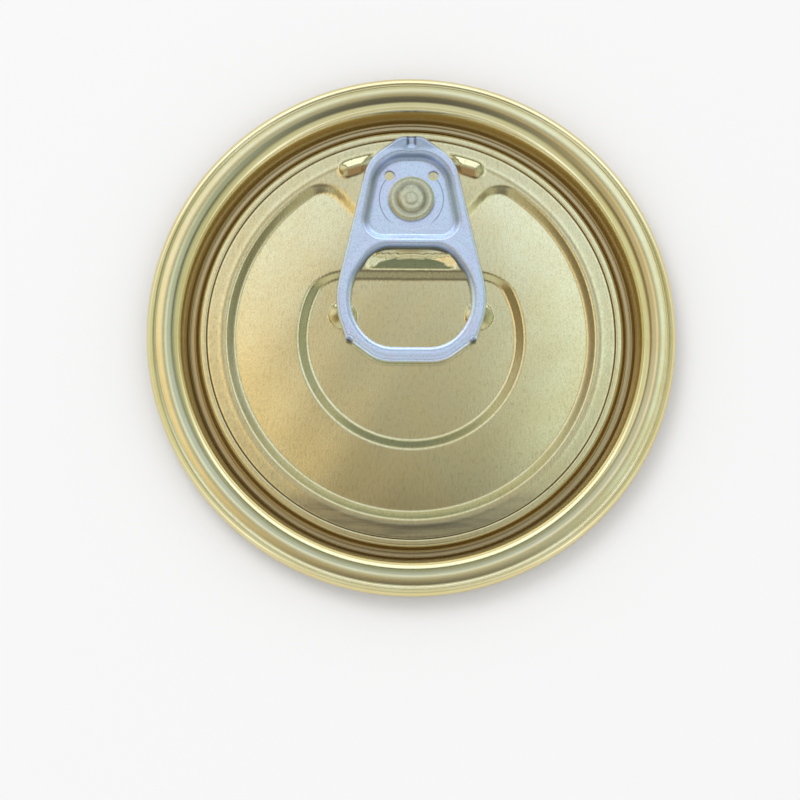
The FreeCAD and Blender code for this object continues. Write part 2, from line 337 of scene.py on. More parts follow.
# Soft cards on the canopy: middle and half size in degrees (towards +X, towards +Y),
# how soft the edge is, and the light they give. Later cards lie over earlier ones.
canopyCards = [
    ((0, 0), (90, 47), 0.03, colour(198, 204, 198)),      # ceiling
    ((0, 39.5), (34, 8), 0.15, colour(92, 110, 108)),     # dark band, far side
    ((34, 20), (13, 15), 0.4, colour(161, 177, 172)),     # grey-green, right
    ((-32, 24), (14, 13), 0.4, colour(240, 243, 245)),    # white, left
    ((0, 26), (22, 9), 0.4, colour(200, 208, 202)),
    ((62, 0), (20, 40), 0.4, colour(204, 212, 198)),      # pale and low, right and left
    ((-62, 0), (20, 40), 0.4, colour(222, 230, 218)),
    ((-25, 1), (13, 16), 0.3, colour(168, 152, 120)),     # tan, left
    ((29, -4), (7, 14), 0.4, colour(161, 177, 172)),
    ((19.5, 8), (4.5, 18), 0.4, colour(100, 98, 90)),     # dark, beside the tab
    ((-19.5, 8), (4.5, 18), 0.4, colour(100, 94, 84)),
    ((0, -36), (60, 18), 0.3, colour(214, 222, 226)),     # near side, high and low
    ((0, -72), (80, 16), 0.3, colour(200, 206, 210)),
    ((-7.5, 12.5), (8.5, 9), 0.35, (1.15, 0.99, 0.76, 1)),    # warm light
    ((9, 12.5), (7, 10), 0.35, (0.97, 1.16, 1.28, 1)),        # cool light
    ((3, 18), (15, 4.6), 0.6, (1.06, 1.28, 1.8, 1)),          # blue light above both
    ((1.8, -4), (8, 13), 0.35, colour(104, 103, 114)),    # dark middle, where the lens is
    ((1.2, 9), (2.8, 8.5), 0.5, colour(122, 115, 102)),   # gap between the two lights
]


def makeWorld():
    world = bpy.data.worlds.new("studioWorld")
    bpy.context.scene.world = world
    graph = Graph(world)
    isCamera = graph.ray("Is Camera Ray")
    isGlossy = graph.ray("Is Glossy Ray")
    isThrough = graph.ray("Is Transmission Ray")
    isSeen = isCamera.maths("MAXIMUM", isGlossy).maths("MAXIMUM", isThrough)
    strength = isSeen * (1 - studio["ambient"]) + studio["ambient"]
    light = graph.add("ShaderNodeBackground", None, {"Color": (1, 1, 1, 1), "Strength": strength})
    graph.add("ShaderNodeOutputWorld", None, {"Surface": light})


def makeKeyLight():
    deselectAll()
    bpy.ops.object.light_add(type="AREA", location=studio["keyPlace"])
    lamp = bpy.context.object
    lamp.name = "keyLight"
    lamp.data.energy = studio["keyPower"]
    lamp.data.size = studio["keySize"]
    lamp.rotation_euler = Vector(studio["keyPlace"]).to_track_quat("Z", "Y").to_euler()
    lamp.visible_glossy = False


def makeFloor():
    deselectAll()
    bpy.ops.mesh.primitive_plane_add(size=studio["floorSize"], location=(0, 0, 0))
    floor = bpy.context.object
    floor.name = "floor"
    material = bpy.data.materials.new("paleFloor")
    graph = Graph(material)
    lift = graph.ray("Is Camera Ray") * studio["floorLift"]
    paint = graph.add("ShaderNodeBsdfPrincipled", None, {
        "Base Color": studio["floorColour"],
        "Roughness": 0.9,
        "Specular IOR Level": 0.0,
        "Emission Color": graph.mix((0, 0, 0, 1), (1, 1, 1, 1), lift),
        "Emission Strength": 1.0,
    })
    graph.add("ShaderNodeOutputMaterial", None, {"Surface": paint})
    floor.data.materials.append(material)


def makeCanopy():
    # a dome over the lid that only its gloss sees, as a studio's reflector cards are
    radius = studio["canopyRadius"]
    deselectAll()
    bpy.ops.mesh.primitive_uv_sphere_add(segments=96, ring_count=48, radius=radius, location=(0, 0, 0))
    canopy = bpy.context.object
    canopy.name = "canopy"
    edgeHeight = radius * math.cos(math.radians(studio["canopyEdge"]))
    bpy.ops.object.mode_set(mode="EDIT")
    bpy.ops.mesh.select_all(action="SELECT")
    bpy.ops.mesh.bisect(plane_co=(0, 0, edgeHeight), plane_no=(0, 0, 1), clear_inner=True)
    bpy.ops.mesh.select_all(action="SELECT")
    bpy.ops.mesh.flip_normals()
    bpy.ops.object.mode_set(mode="OBJECT")
    material = bpy.data.materials.new("canopyCards")
    graph = Graph(material)
    x, y, z = graph.split(graph.places())
    length = (x * x + y * y + z * z).maths("SQRT")
    fromTop = (z / length).maths("ARCCOSINE") * (180 / math.pi)
    flat = (x * x + y * y).maths("SQRT") + 1e-6
    east = fromTop * x / flat
    north = fromTop * y / flat
    seen = studio["lowLight"]
    for (middleX, middleY), (halfX, halfY), soft, light in canopyCards:
        acrossX = (east - middleX) / halfX
        acrossY = (north - middleY) / halfY
        reach = (acrossX * acrossX + acrossY * acrossY).maths("SQRT")
        seen = graph.mix(seen, light, 1 - reach.between(1 - soft, 1 + soft))
    glow = graph.add("ShaderNodeEmission", None, {"Color": seen, "Strength": 1.0})
    graph.add("ShaderNodeOutputMaterial", None, {"Surface": glow})
    canopy.data.materials.append(material)
    canopy.visible_camera = False
    canopy.visible_diffuse = False
    canopy.visible_transmission = False
    canopy.visible_volume_scatter = False
    canopy.visible_shadow = False


makeWorld()
makeKeyLight()
makeFloor()
makeCanopy()
bpy.context.scene.view_settings.view_transform = "Standard"
print("studio ready")


# sizes shared by the lid and the tab
lidSizes = {
    "sheet": 0.21,
    "panelTop": 1.41,
    "curlHeight": 2.1, "curlRound": 1.3, "curlStraight": 1.75, "curlTuck": 0.45, "tuckRound": 0.35,
    "crownInset": 2.3, "crownRound": 7.8, "crownFall": 10.2,
    "rimWidth": 4.85, "shoulderRound": 1.9, "wallLean": 1.6,
    "grooveWidth": 1.25, "grooveOuterRound": 0.7, "grooveInnerRound": 0.6,
    "grooveLean": 0.45, "panelEdgeRound": 0.45,
    "scoreInset": 1.15, "scoreHalf": 0.11, "scoreDepth": 0.09,
    "stepRun": 1.35, "stepBend": 0.22,
    "wellInset": 3.1, "wellDepth": 0.35, "lobeRound": 3.6, "wellCrown": 0.3,
    "saddleHalf": 3.3, "saddleFlare": 48.0, "saddleRound": 1.2,
    "dishRadius": 17.7, "dishDepth": 0.35, "dishRound": 3.3,
    "dipDepth": 0.45, "dipTopHalf": 3.4, "dipLowHalf": 7.0, "dipTopRun": 0.55,
    "dipFromSaddle": 1.6, "dipFromDish": 0.25, "dipRound": 0.3, "dipBend": 0.1,
    "barInset": 3.05, "barHalf": 1.3, "barHeight": 0.5, "barLength": 3.1,
    "barBend": 0.28, "barGap": 0.1, "barEndRun": 0.7,
    "restHalf": 2.2, "restHeight": 0.5, "restOutset": 1.28,
    "rippleHeight": 0.012, "rippleOutset": 0.95, "rippleHalf": 0.3,
    "innerRings": (0.0, 3.0, 6.0, 8.0),
    "ringRuns": (               # from, to and spacing of the panel's mesh rings
        (8.8, 18.3, 0.3), (18.6, 27.2, 0.4), (27.35, 30.5, 0.19), (30.8, 31.7, 0.4),
    ),
    "turns": 360,
}
tabSizes = {
    "noseReach": 10.05, "noseHalf": 1.75, "noseRound": 2.4,
    "cheekReach": 6.16, "cheekHalf": 6.95, "cheekRound": 7.0,
    "hipDrop": 16.82, "hipHalf": 12.26, "hipRound": 12.7,
    "heelDrop": 23.05, "heelHalf": 10.15, "heelRound": 1.2, "heelStep": 0.28,
    "tailHalf": 5.2, "tailRound": 6.2,
    "ringHalf": 9.42, "ringTopDrop": 8.05, "ringTopHalf": 5.6, "ringTopRound": 4.4,
    "ringHighDrop": 13.45, "ringHighRound": 8.0, "ringLowDrop": 19.5, "ringLowRound": 8.0,
    "ringEndDrop": 23.95, "ringEndHalf": 5.55, "ringEndRound": 6.2,
    "panTopReach": 6.45, "panTopHalf": 4.86, "panTopRound": 4.7,
    "panLowDrop": 5.8, "panLowHalf": 7.2, "panLowRound": 2.2, "panWallRun": 1.0,
    "web": 0.3,
    "outerRound": 0.5, "holeRoundWide": 1.05, "holeRoundHigh": 0.6, "underRound": 0.4,
    "ventRadius": 0.78, "ventAngle": 43.2, "slitRadius": 5.05, "slitWidth": 0.14,
    "stemHole": 1.78,
    "nickHalf": 0.62, "nickDepth": 0.3, "nickLength": 1.75, "dimpleHalf": 1.3,
    "fullRelief": 0.3,      # depth below the top that follows the pressed forms fully
    "noRelief": 0.5,        # height over the bottom that doesn't follow them
    "steps": 480, "rows": 72,
}
wallTopRadius = rimRadius - lidSizes["rimWidth"]
grooveOuterRadius = wallTopRadius - lidSizes["wallLean"]
grooveInnerRadius = grooveOuterRadius - lidSizes["grooveWidth"]
panelRadius = grooveInnerRadius - lidSizes["grooveLean"]
scoreRadius = panelRadius - lidSizes["scoreInset"]
wellRadius = scoreRadius - lidSizes["wellInset"]
barRadius = scoreRadius - lidSizes["barInset"]
rivetY = noseY - tabSizes["noseReach"]
heelY = rivetY - tabSizes["heelDrop"]
saddleY = rivetY - 7.3
dishChordY = rivetY - 11.55
restY = rivetY - 18.7
restX = tabSizes["ringHalf"] + lidSizes["restOutset"]

tabHalf = [
    (tabSizes["noseHalf"], noseY, tabSizes["noseRound"]),
    (tabSizes["cheekHalf"], rivetY + tabSizes["cheekReach"], tabSizes["cheekRound"]),
    (tabSizes["hipHalf"], rivetY - tabSizes["hipDrop"], tabSizes["hipRound"]),
    (tabSizes["heelHalf"], heelY, tabSizes["heelRound"]),
    (tabSizes["tailHalf"], tailY - tabSizes["heelStep"], tabSizes["tailRound"]),
]
ringHalf = [
    (tabSizes["ringTopHalf"], rivetY - tabSizes["ringTopDrop"], tabSizes["ringTopRound"]),
    (tabSizes["ringHalf"], rivetY - tabSizes["ringHighDrop"], tabSizes["ringHighRound"]),
    (tabSizes["ringHalf"], rivetY - tabSizes["ringLowDrop"], tabSizes["ringLowRound"]),
    (tabSizes["ringEndHalf"], rivetY - tabSizes["ringEndDrop"], tabSizes["ringEndRound"]),
]
panHalf = [
    (tabSizes["panTopHalf"], rivetY + tabSizes["panTopReach"], tabSizes["panTopRound"]),
    (tabSizes["panLowHalf"], rivetY - tabSizes["panLowDrop"], tabSizes["panLowRound"]),
]
tabOutline = closedOutline(tabHalf)
ringOutline = closedOutline(ringHalf)
panMouth = closedOutline(panHalf, tabSizes["panWallRun"])


# pressed end
def capHeight(distance, half, height):
    # low arch, height in the middle and 0 at half, with a soft foot
    arc = (half ** 2 + height ** 2) / (2 * height)
    arch = np.sqrt(np.maximum(arc ** 2 - distance ** 2, 0)) - (arc - height)
    return softFloor(arch, 0.05)


def panelRelief(x, y):
    # height of the pressed forms over the flat panel
    s = lidSizes
    radius = np.hypot(x, y)
    side = np.abs(x)
    flare = math.radians(s["saddleFlare"])
    belowSaddle = y - saddleY
    besideSaddle = (y - saddleY) * math.cos(flare) - (side - s["saddleHalf"]) * math.sin(flare)
    saddle = roundedMin(belowSaddle, besideSaddle, s["saddleRound"])
    wellIn = roundedMin(wellRadius - radius, -saddle, s["lobeRound"])
    well = softStep(wellIn, s["stepRun"], s["stepBend"])
    dishIn = roundedMin(s["dishRadius"] - radius, dishChordY - y, s["dishRound"])
    dish = softStep(dishIn, s["stepRun"], s["stepBend"])
    dipTop = saddleY - s["dipFromSaddle"]
    dipLow = dishChordY + s["dipFromDish"]
    dipRun = dipTop - dipLow - s["dipTopRun"]
    dipLong = roundedMin((y - dipLow) / dipRun, (dipTop - y) / s["dipTopRun"], s["dipRound"])
    dipWide = (s["dipLowHalf"] - side) / (s["dipLowHalf"] - s["dipTopHalf"])
    dipIn = roundedMin(dipLong, dipWide, s["dipRound"])
    dip = softFloor(roundedMin(dipIn, np.ones(x.shape), s["dipBend"]), s["dipBend"])
    height = s["wellCrown"] * well * np.maximum(1 - (radius / wellRadius) ** 4, 0)
    height = height - s["wellDepth"] * well - s["dishDepth"] * dish - s["dipDepth"] * dip

    barEnd = math.asin((tabSizes["cheekHalf"] + s["barLength"]) / barRadius)
    along = np.arctan2(side, y)
    endX, endY = barRadius * math.sin(barEnd), barRadius * math.cos(barEnd)
    fromBar = np.where(along < barEnd, np.abs(radius - barRadius), np.hypot(side - endX, y - endY))
    bar = np.zeros(x.shape)
    near = fromBar < s["barHalf"] + s["barBend"] + 0.02
    besideTab = -insideDistance(x[near], y[near], tabOutline)
    roof = s["barHeight"] * softStep(s["barHalf"] - fromBar[near], s["barHalf"], s["barBend"])
    bar[near] = roof * softStep(besideTab - s["barGap"], s["barEndRun"], 0.2)
    rest = capHeight(np.hypot(side - restX, y - restY), s["restHalf"], s["restHeight"])
    ripple = s["rippleHeight"] * bump(radius - wellRadius - s["rippleOutset"], s["rippleHalf"])
    # slow unevenness of pressed sheet, gone at the tear line
    uneven = 0.012 * np.sin(x * 0.23 + 0.6) * np.cos(y * 0.19 + 0.4)
    uneven += 0.005 * np.sin(x * 0.51 - y * 0.37)
    return height + bar + rest + ripple + uneven * np.clip((scoreRadius - radius) / 6, 0, 1)


def endSection():
    # radius and height, along the upper face from the middle to the curl, then back underneath
    s = lidSizes
    edge = rimRadius
    crown = edge - s["crownInset"]
    fall = math.tan(math.radians(s["crownFall"]))
    crownZ = rimTop + s["crownRound"] * (math.hypot(1, fall) - 1)
    edgeZ = crownZ - s["crownInset"] * fall
    lean = s["wallLean"] / (rimTop - s["sheet"])
    shoulder = (grooveOuterRadius + lean * (crownZ - s["sheet"] - crown * fall)) / (1 - lean * fall)
    shoulderZ = crownZ - (crown - shoulder) * fall
    corners = [
        (0.0, s["panelTop"], 0.0),
        (panelRadius, s["panelTop"], s["panelEdgeRound"]),
        (grooveInnerRadius, s["sheet"], s["grooveInnerRound"]),
        (grooveOuterRadius, s["sheet"], s["grooveOuterRound"]),
        (shoulder, shoulderZ, s["shoulderRound"]),
        (crown, crownZ, s["crownRound"]),
        (edge, edgeZ, s["curlRound"]),
        (edge, rimTop - s["curlStraight"], s["tuckRound"]),
        (edge - s["curlTuck"], rimTop - s["curlHeight"], 0.0),
    ]
    half = s["scoreHalf"]
    top = s["panelTop"]
    rings = list(s["innerRings"])
    for first, last, spacing in s["ringRuns"]:
        rings += list(np.arange(first, last, spacing))
    upper = [(ring, top) for ring in rings]
    upper += [(scoreRadius - half * 1.5, top), (scoreRadius - half, top - 0.01)]
    upper += [(scoreRadius, top - s["scoreDepth"])]
    upper += [(scoreRadius + half, top - 0.01), (scoreRadius + half * 1.5, top)]
    upper += [(scoreRadius + 0.4, top), (scoreRadius + 0.7, top)]
    upper += divided(roundedPath(corners, arcStep=6.0)[1:], 0.8)
    lower = divided(roundedPath(corners, s["sheet"], arcStep=15.0)[1:], 1.5)
    under = [(ring, top - s["sheet"]) for ring in np.arange(0.0, scoreRadius, 0.8)]
    return upper + lower[::-1] + under[::-1]


def divided(points, longest):
    # the same path with long runs cut into shorter ones
    result = [points[0]]
    for start, end in zip(points, points[1:]):
        steps = max(1, math.ceil(math.dist(start, end) / longest))
        for step in range(1, steps + 1):
            part = step / steps
            result.append((
                start[0] + (end[0] - start[0]) * part,
                start[1] + (end[1] - start[1]) * part,
            ))
    return result


def spunPiece(name, section, turns):
    # one vertex is extruded from point to point, then the line is spun round Z
    deselectAll()
    bpy.ops.mesh.primitive_plane_add(size=mm, location=(0, 0, 0))
    piece = bpy.context.object
    piece.name = name
    bpy.ops.object.mode_set(mode="EDIT")
    bpy.ops.mesh.select_all(action="SELECT")
    bpy.ops.mesh.merge(type="CENTER")
    bpy.ops.transform.translate(value=(section[0][0] * mm, 0, section[0][1] * mm))
    for before, after in zip(section, section[1:]):
        step = ((after[0] - before[0]) * mm, 0, (after[1] - before[1]) * mm)
        bpy.ops.mesh.extrude_vertices_move(TRANSFORM_OT_translate={"value": step})
    bpy.ops.mesh.select_all(action="SELECT")
    bpy.ops.mesh.spin(steps=turns, angle=2 * math.pi, center=(0, 0, 0), axis=(0, 0, 1))
    bpy.ops.mesh.select_all(action="SELECT")
    bpy.ops.mesh.remove_doubles(threshold=1e-6)
    bpy.ops.mesh.normals_make_consistent(inside=False)
    bpy.ops.object.mode_set(mode="OBJECT")
    return piece


def pressPanel(piece):
    # the forms are pressed into both faces of the sheet, and the facing follows them exactly
    points = readPoints(piece)
    x, y, z = points.T.copy()
    panel = np.hypot(x, y) < scoreRadius + 0.8
    px, py = x[panel], y[panel]
    points[panel, 2] += panelRelief(px, py)
    writePoints(piece, points)
    makeActive(piece)
    bpy.ops.object.shade_smooth()
    facing = np.empty(len(points) * 3)
    piece.data.vertices.foreach_get("normal", facing)
    facing = facing.reshape(-1, 3)
    near = 0.02
    slopeX = (panelRelief(px + near, py) - panelRelief(px - near, py)) / (2 * near)
    slopeY = (panelRelief(px, py + near) - panelRelief(px, py - near)) / (2 * near)
    exact = np.stack([-slopeX, -slopeY, np.ones(slopeX.shape)], axis=1)
    exact /= np.linalg.norm(exact, axis=1, keepdims=True)
    exact *= np.where(z[panel] > lidSizes["panelTop"] - lidSizes["sheet"] / 2, 1, -1)[:, None]
    plain = np.hypot(px, py) < scoreRadius - 2 * lidSizes["scoreHalf"]
    rows = np.flatnonzero(panel)[plain]
    facing[rows] = exact[plain]
    piece.data.normals_split_custom_set_from_vertices(facing.tolist())


rivetSizes = {
    "headRadius": 3.6, "headThickness": 0.3,
    "stemRadius": 1.75, "stemFoot": 1.3,
    "buttonRadius": 1.95, "buttonHeight": 0.16, "pipRadius": 0.85, "pipHeight": 0.06,
}


def makeRivet():
    s = rivetSizes
    webTop = tabBottom + tabSizes["web"]
    headTop = webTop + s["headThickness"]
    buttonTop = headTop + s["buttonHeight"]
    corners = [
        (0.0, buttonTop + s["pipHeight"], 0.0),
        (s["pipRadius"] - 0.1, buttonTop + s["pipHeight"], 0.25),
        (s["pipRadius"] + 0.25, buttonTop, 0.25),
        (s["buttonRadius"] - 0.2, buttonTop, 0.3),
        (s["buttonRadius"] + 0.4, headTop - 0.03, 0.4),
        (s["headRadius"] - 0.5, headTop, 0.9),
        (s["headRadius"], headTop - 0.1, 0.1),
        (s["headRadius"], webTop, 0.08),
        (s["stemRadius"], webTop, 0.0),
        (s["stemRadius"], s["stemFoot"], 0.0),
        (0.0, s["stemFoot"], 0.0),
    ]
    rivet = spunPiece("rivet", divided(roundedPath(corners, arcStep=12.0), 0.5), 72)
    rivet.location = (0, rivetY * mm, 0)
    applyPlace(rivet)
    smoothByAngle(rivet, 50)
    return rivet


lidEnd = spunPiece("lidEnd", endSection(), lidSizes["turns"])
print("pressed end spun", len(lidEnd.data.polygons))
pressPanel(lidEnd)
rivet = makeRivet()
print("panel pressed, rivet made")


# pull tab
def tabRelief(x, y):
    # height of the tab's upper face over its flat
    s = tabSizes
    drop = tabTop - tabBottom - s["web"]
    panIn = insideDistance(x, y, panMouth)
    height = -drop * softStep(panIn, s["panWallRun"], 0.2)
    ridgeY = noseY - 2.2
    height -= 0.13 * softFloor(y - ridgeY, 0.25) * (panIn < 0.1)
    side = np.abs(x)
    nick = softStep(s["nickHalf"] - side, 0.2, 0.08) * softStep(y - (noseY - s["nickLength"]), 0.3, 0.1)
    height -= s["nickDepth"] * nick
    dimple = np.hypot(x, (y - (noseY - s["nickLength"])) * 1.15)
    height -= 0.16 * softStep(s["dimpleHalf"] - dimple, 0.8, 0.2)
    fromHole = -insideDistance(x, y, ringOutline)
    height -= 0.012 * bump(fromHole - 2.2, 0.4) * softStep(y - 9, 3, 0.5)
    fromEdge = insideDistance(x, y, tabOutline)
    height -= 0.016 * bump(fromEdge - 0.95, 0.3) * softStep(3.0 - y, 3, 0.5)
    heel = np.hypot(side - 9.75, y - heelY)
    height -= 0.45 * softStep(0.75 - heel, 0.4, 0.1)
    return height


def around(outline):
    # outward direction of a closed row of points that runs clockwise
    ahead = np.roll(outline, -1, axis=0) - np.roll(outline, 1, axis=0)
    ahead /= np.linalg.norm(ahead, axis=1, keepdims=True)
    return np.stack([-ahead[:, 1], ahead[:, 0]], axis=1)


def tabRows():
    # matching points on the outer edge and on the hole's edge, on spokes from the hole's middle
    s = tabSizes
    middle = np.array([0.0, (ringHalf[0][1] + ringHalf[-1][1]) / 2])
    outer = densify(tabOutline, 0.02)
    hole = densify(ringOutline, 0.02) - middle
    lengths = np.linalg.norm(np.roll(outer, -1, axis=0) - outer, axis=1)
    travelled = np.concatenate([[0], np.cumsum(lengths)])
    wanted = np.linspace(0, travelled[-1], s["steps"], endpoint=False)
    closed = np.vstack([outer, outer[:1]])
    outer = np.stack([np.interp(wanted, travelled, closed[:, axis]) for axis in (0, 1)], axis=1)
    angles = np.arctan2(outer[:, 0], outer[:, 1] - middle[1])
    holeAngles = np.arctan2(hole[:, 0], hole[:, 1])
    order = np.argsort(holeAngles)
    holeReach = np.linalg.norm(hole[order], axis=1)
    reach = np.interp(angles, holeAngles[order], holeReach, period=2 * math.pi)
    inner = middle + np.stack([np.sin(angles), np.cos(angles)], axis=1) * reach[:, None]
    outerOut = around(outer)
    innerOut = around(inner)
    step = softStep(heelY + 0.1 - outer[:, 1], 0.25, 0.1) * s["heelStep"]
    return outer - outerOut * step[:, None], outerOut, inner, innerOut


def makeTabPlate():
    # a ring with a closed section, each of whose rows is laid on the tab's own section
    s = tabSizes
    outer, outerOut, inner, innerOut = tabRows()
    outerRound, under = s["outerRound"], s["underRound"]
    wide, high = s["holeRoundWide"], s["holeRoundHigh"]
    rows = []
    topIn = inner + innerOut * wide
    topOut = outer - outerOut * outerRound
    for part in np.linspace(0, 1, s["rows"]):
        flat = topIn * (1 - part) + topOut * part
        rows.append((flat, tabTop))
    for angle in np.radians([15, 30, 45, 60, 75, 90]):
        inset = outerRound * (1 - math.sin(angle))
        rows.append((outer - outerOut * inset, tabTop - outerRound * (1 - math.cos(angle))))
    for angle in np.radians([90, 60, 30, 0]):
        inset = under * (1 - math.sin(angle))
        rows.append((outer - outerOut * inset, tabBottom + under * (1 - math.cos(angle))))
    lowIn = inner + innerOut * under
    lowOut = outer - outerOut * under
    for part in (0.75, 0.5, 0.25):
        rows.append((lowIn * (1 - part) + lowOut * part, tabBottom))
    for angle in np.radians([0, 30, 60, 90]):
        inset = under * (1 - math.sin(angle))
        rows.append((inner + innerOut * inset, tabBottom + under * (1 - math.cos(angle))))
    for angle in np.radians([90, 75, 60, 45, 30, 15]):
        inset = wide * (1 - math.sin(angle))
        rows.append((inner + innerOut * inset, tabTop - high * (1 - math.cos(angle))))
    deselectAll()
    bpy.ops.mesh.primitive_grid_add(x_subdivisions=len(rows), y_subdivisions=s["steps"], size=0.01)
    plate = bpy.context.object
    plate.name = "pullTab"
    points = np.empty((s["steps"] + 1, len(rows) + 1, 3))
    for index, (flat, z) in enumerate(rows):
        relief = tabRelief(flat[:, 0], flat[:, 1])
        share = 0.5
        if z > tabTop - s["fullRelief"]:
            share = 1.0
        elif z < tabBottom + s["noRelief"]:
            share = 0.0
        points[:-1, index, :2] = flat
        points[:-1, index, 2] = z + relief * share
    points[-1] = points[0]
    points[:, -1] = points[:, 0]
    writePoints(plate, points.reshape(-1, 3))
    makeActive(plate)
    bpy.ops.object.mode_set(mode="EDIT")
    bpy.ops.mesh.select_all(action="SELECT")
    bpy.ops.mesh.remove_doubles(threshold=1e-7)
    bpy.ops.mesh.normals_make_consistent(inside=False)
    bpy.ops.object.mode_set(mode="OBJECT")
    return plate


def cutWith(piece, cutter):
    applyModifier(piece, "BOOLEAN", operation="DIFFERENCE", solver="EXACT", object=cutter)
    makeActive(cutter)
    bpy.ops.object.delete()


def roundCutter(radius, x, y, segments):
    deselectAll()
    bpy.ops.mesh.primitive_cylinder_add(
        vertices=segments, radius=radius * mm, depth=6 * mm, location=(x * mm, y * mm, tabBottom * mm))
    cutter = bpy.context.object
    applyPlace(cutter)
    return cutter


def slitCutter():
    # thin wall round the rivet, left out between the vents
    s = tabSizes
    deselectAll()
    bpy.ops.mesh.primitive_circle_add(
        vertices=160, radius=s["slitRadius"] * mm, location=(0, rivetY * mm, (tabBottom - 1) * mm))
    cutter = bpy.context.object
    applyPlace(cutter)
    openFrom = rivetY + s["slitRadius"] * math.cos(math.radians(s["ventAngle"]))
    for vertex in cutter.data.vertices:
        vertex.select = vertex.co.y > openFrom * mm
    bpy.ops.object.mode_set(mode="EDIT")
    bpy.ops.mesh.delete(type="VERT")
    bpy.ops.mesh.select_all(action="SELECT")
    bpy.ops.mesh.extrude_region_move(TRANSFORM_OT_translate={"value": (0, 0, 3 * mm)})
    bpy.ops.object.mode_set(mode="OBJECT")
    applyModifier(cutter, "SOLIDIFY", thickness=s["slitWidth"] * mm, offset=0)
    bpy.ops.object.mode_set(mode="EDIT")
    bpy.ops.mesh.select_all(action="SELECT")
    bpy.ops.mesh.normals_make_consistent(inside=False)
    bpy.ops.object.mode_set(mode="OBJECT")
    return cutter


paintedBendShades = {  # how much painted shade the tab gets there, 0 to 1
    "panWall": 0.55,
    "panTop": 0.3,          # more of it towards the nose
    "holeTop": 0.9,
    "nickSides": 0.8,
    "nose": 0.3,
    "rivetShadow": 0.75,
    "vents": 0.7,
    "heel": 0.8,
    "underside": 0.5,
}


def paintBendShades(piece):
    # painted shade for each place of the tab (pan walls, hole edge, nick, nose, rivet shadow, vents,
    # heel, underside), kept as an attribute that the steel reads
    s = tabSizes
    amount = paintedBendShades
    x, y, z = readPoints(piece).T
    side = np.abs(x)
    drop = tabTop - z
    panIn = insideDistance(x, y, panMouth)
    panLow = rivetY - s["panLowDrop"]
    upperPan = softStep(y - panLow - 0.6, 1.6, 0.5)
    topPan = softStep(y - rivetY - 1.0, 4.0, 0.5)
    shade = (amount["panWall"] + amount["panTop"] * topPan) * bump(panIn - 0.6, 0.62) * upperPan
    fromHole = -insideDistance(x, y, ringOutline)
    holeMiddle = (ringHalf[1][1] + ringHalf[2][1]) / 2
    upperHole = softStep(y - holeMiddle - 1.5, 3.0, 1.0)
    shade += amount["holeTop"] * softStep(0.7 - fromHole, 0.5, 0.15) * upperHole
    nick = softStep(s["nickHalf"] + 0.22 - side, 0.15, 0.05)
    nick *= softStep(side - s["nickHalf"] + 0.25, 0.12, 0.05)
    shade += amount["nickSides"] * nick * softStep(y - (noseY - s["nickLength"]), 0.3, 0.1)
    shade += amount["nose"] * softStep(y - (noseY - 2.3), 0.5, 0.2)
    fromHead = np.hypot(x, y - rivetY) - rivetSizes["headRadius"]
    # painted shadow of the rivet head on the web
    shade += amount["rivetShadow"] * bump(fromHead - 0.02, 0.2) * softStep(rivetY + 1.0 - y, 2.5, 0.5)
    for turn in (-1, 1):
        fromVent = np.hypot(x - turn * ventReach, y - ventY)
        upperEdge = softStep(y - ventY + 0.2, 0.6, 0.2)
        shade += amount["vents"] * bump(fromVent - s["ventRadius"], 0.12) * upperEdge
    heel = np.hypot(side - 9.75, y - heelY)
    shade += amount["heel"] * softStep(0.7 - heel, 0.4, 0.1)
    shade += amount["underside"] * softStep(drop - 1.0, 0.3, 0.1) * (fromHole < 0.5)
    attribute = piece.data.attributes.new("bendShade", "FLOAT", "POINT")
    attribute.data.foreach_set("value", np.clip(shade, 0, 1))


pullTab = makeTabPlate()
ventReach = tabSizes["slitRadius"] * math.sin(math.radians(tabSizes["ventAngle"]))
ventY = rivetY + tabSizes["slitRadius"] * math.cos(math.radians(tabSizes["ventAngle"]))
cutWith(pullTab, slitCutter())
for side in (-1, 1):
    cutWith(pullTab, roundCutter(tabSizes["ventRadius"], side * ventReach, ventY, 40))
cutWith(pullTab, roundCutter(tabSizes["stemHole"], 0, rivetY, 48))
smoothByAngle(pullTab, 40)
paintBendShades(pullTab)
print("pull tab made", len(pullTab.data.polygons))


# finishes
lacquer = {
    "colour": colour(240, 227, 172),
    "warm": colour(236, 212, 146),
    "roughness": 0.15,
    "grainColour": colour(168, 150, 106),
    "grainScale": 3200.0, "grain": 0.15,        # fine grain of the sheet
    "fleckScale": 900.0, "flecks": 0.17,        # short flecks along the rolling
    "rimGrain": 0.06,                           # what is left of them on rim and wall
    "mottleScale": 160.0,
    # painted shade in the tear line's groove
    "scoreShade": colour(120, 95, 60),
    # painted shade in the groove round the panel
    "grooveShade": colour(182, 160, 116),
    "grooveFrom": 33.1, "grooveTo": 35.0, "grooveSoft": 0.3,
    "grooveLine": 34.25, "grooveLineHalf": 0.1,
    "wallColour": colour(244, 231, 194),
    "rimReflection": colour(178, 172, 134),           # painted greyish reflection where the rim turns down to the wall
    "rimReflectionAt": 37.75, "rimReflectionHalf": 0.62, "rimReflectionAmount": 0.8,
    "barReflection": colour(178, 142, 96),            # painted brown reflection along the inner side of the two bars
    "apronReflection": colour(168, 158, 126),         # painted dark reflected streaks in front of the recess
    "apronFrom": -28.5, "apronTo": -23.0, "streakScale": 300.0,
}


def groundTint(graph, grain, fleck, mottle, radius):
    # lacquer over rolled sheet, calmer where the rim is drawn
    tint = graph.mix(lacquer["colour"], lacquer["warm"], mottle.between(0.35, 0.65) * 0.35)
    shade = grain.between(0.35, 0.7) * lacquer["grain"] + fleck.between(0.5, 0.72) * lacquer["flecks"]
    onPanel = 1 - radius.between(scoreRadius + 0.2, grooveInnerRadius)
    shade = shade * onPanel + grain * lacquer["rimGrain"]
    return graph.mix(tint, lacquer["grainColour"], shade), onPanel


